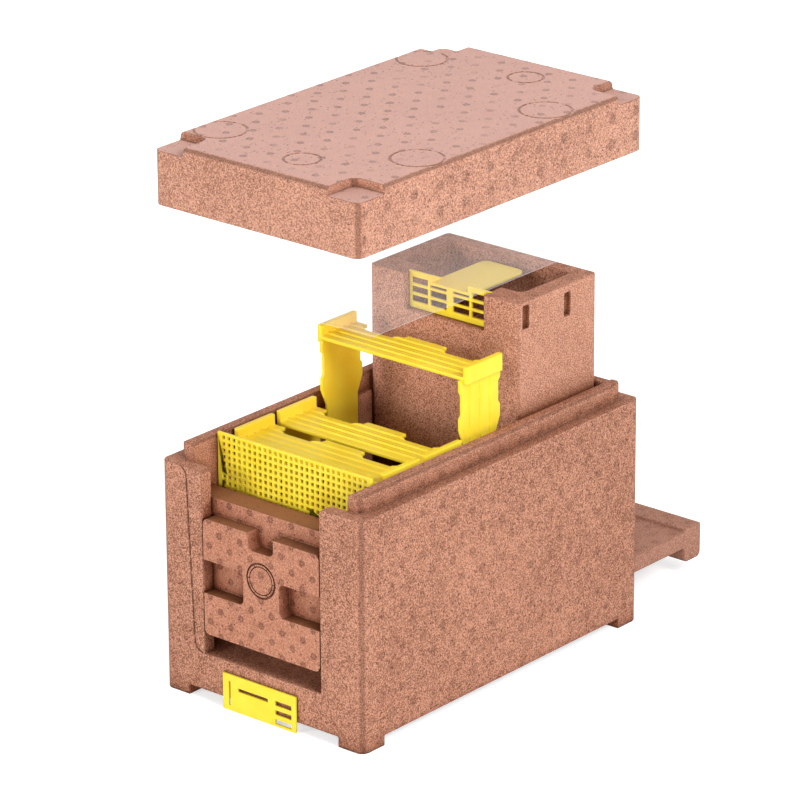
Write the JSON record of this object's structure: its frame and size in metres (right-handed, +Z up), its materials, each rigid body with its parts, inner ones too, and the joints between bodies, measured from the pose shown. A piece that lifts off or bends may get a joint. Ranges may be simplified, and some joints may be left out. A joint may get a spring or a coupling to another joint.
{
  "type": "nuc box",
  "caption": "Foam nucleus box for a small bee colony, with a notched lid, clear cover sheet, feeder tub, hanging frames, sliding entrance door and draw-out floor.",
  "frame": {"origin": "on the ground, at the middle of the set as it stands with its floor slide drawn out", "axes": "+X to the right seen from the front, +Y towards the rear, +Z up; the entrance faces -Y"},
  "size_m": [0.145, 0.3246, 0.3192],
  "materials": {
    "foam": "moulded bead foam, matt",
    "yellow_plastic": "moulded, satin gloss",
    "clear_sheet": "clear plastic sheet"
  },
  "bodies": {
    "box": {"body": "foam", "front_grid": "yellow_plastic"},
    "frame_1": {"frame_1_top_bar": "yellow_plastic", "frame_1_left_side_bar": "yellow_plastic", "frame_1_right_side_bar": "yellow_plastic"},
    "frame_2": {"frame_2_top_bar": "yellow_plastic", "frame_2_left_side_bar": "yellow_plastic", "frame_2_right_side_bar": "yellow_plastic"},
    "frame_3": {"frame_3_top_bar": "yellow_plastic", "frame_3_left_side_bar": "yellow_plastic", "frame_3_right_side_bar": "yellow_plastic"},
    "feeder": {"feeder_tub": "foam", "feeder_grille": "yellow_plastic"},
    "cover_sheet": {"cover_film": "clear_sheet"},
    "cover_lid": {"lid": "foam"},
    "door": {"entrance_door": "foam"},
    "closer": {"entrance_closer": "yellow_plastic"},
    "floor": {"floor_slide": "foam"}
  },
  "joints": [
    {"name": "frame_1_lift", "type": "slide", "parent": "box", "child": "frame_1", "axis": [0, 0, 1], "range_m": [0, 0.041]},
    {"name": "frame_2_lift", "type": "slide", "parent": "frame_1", "child": "frame_2", "axis": [0, 0, 1], "range_m": [0, 0.041]},
    {"name": "frame_3_lift", "type": "slide", "parent": "frame_2", "child": "frame_3", "axis": [0, 0, 1], "range_m": [-0.041, 0]},
    {"name": "feeder_lift", "type": "slide", "parent": "frame_3", "child": "feeder", "axis": [0, 0, 1], "range_m": [-0.024, 0]},
    {"name": "sheet_lift", "type": "slide", "parent": "feeder", "child": "cover_sheet", "axis": [0, 0, 1], "range_m": [-0.015, 0]},
    {"name": "lid_lift", "type": "slide", "parent": "cover_sheet", "child": "cover_lid", "axis": [0, 0, 1], "range_m": [-0.067, 0]},
    {"name": "door_slide", "type": "slide", "parent": "box", "child": "door", "axis": [0, 0, 1], "range_m": [-0.0118, 0.017]},
    {"name": "closer_slide", "type": "slide", "parent": "box", "child": "closer", "axis": [0, 0, 1], "range_m": [0, 0.024]},
    {"name": "floor_draw", "type": "slide", "parent": "box", "child": "floor", "axis": [0, 1, 0], "range_m": [-0.082, 0.06]}
  ]
}
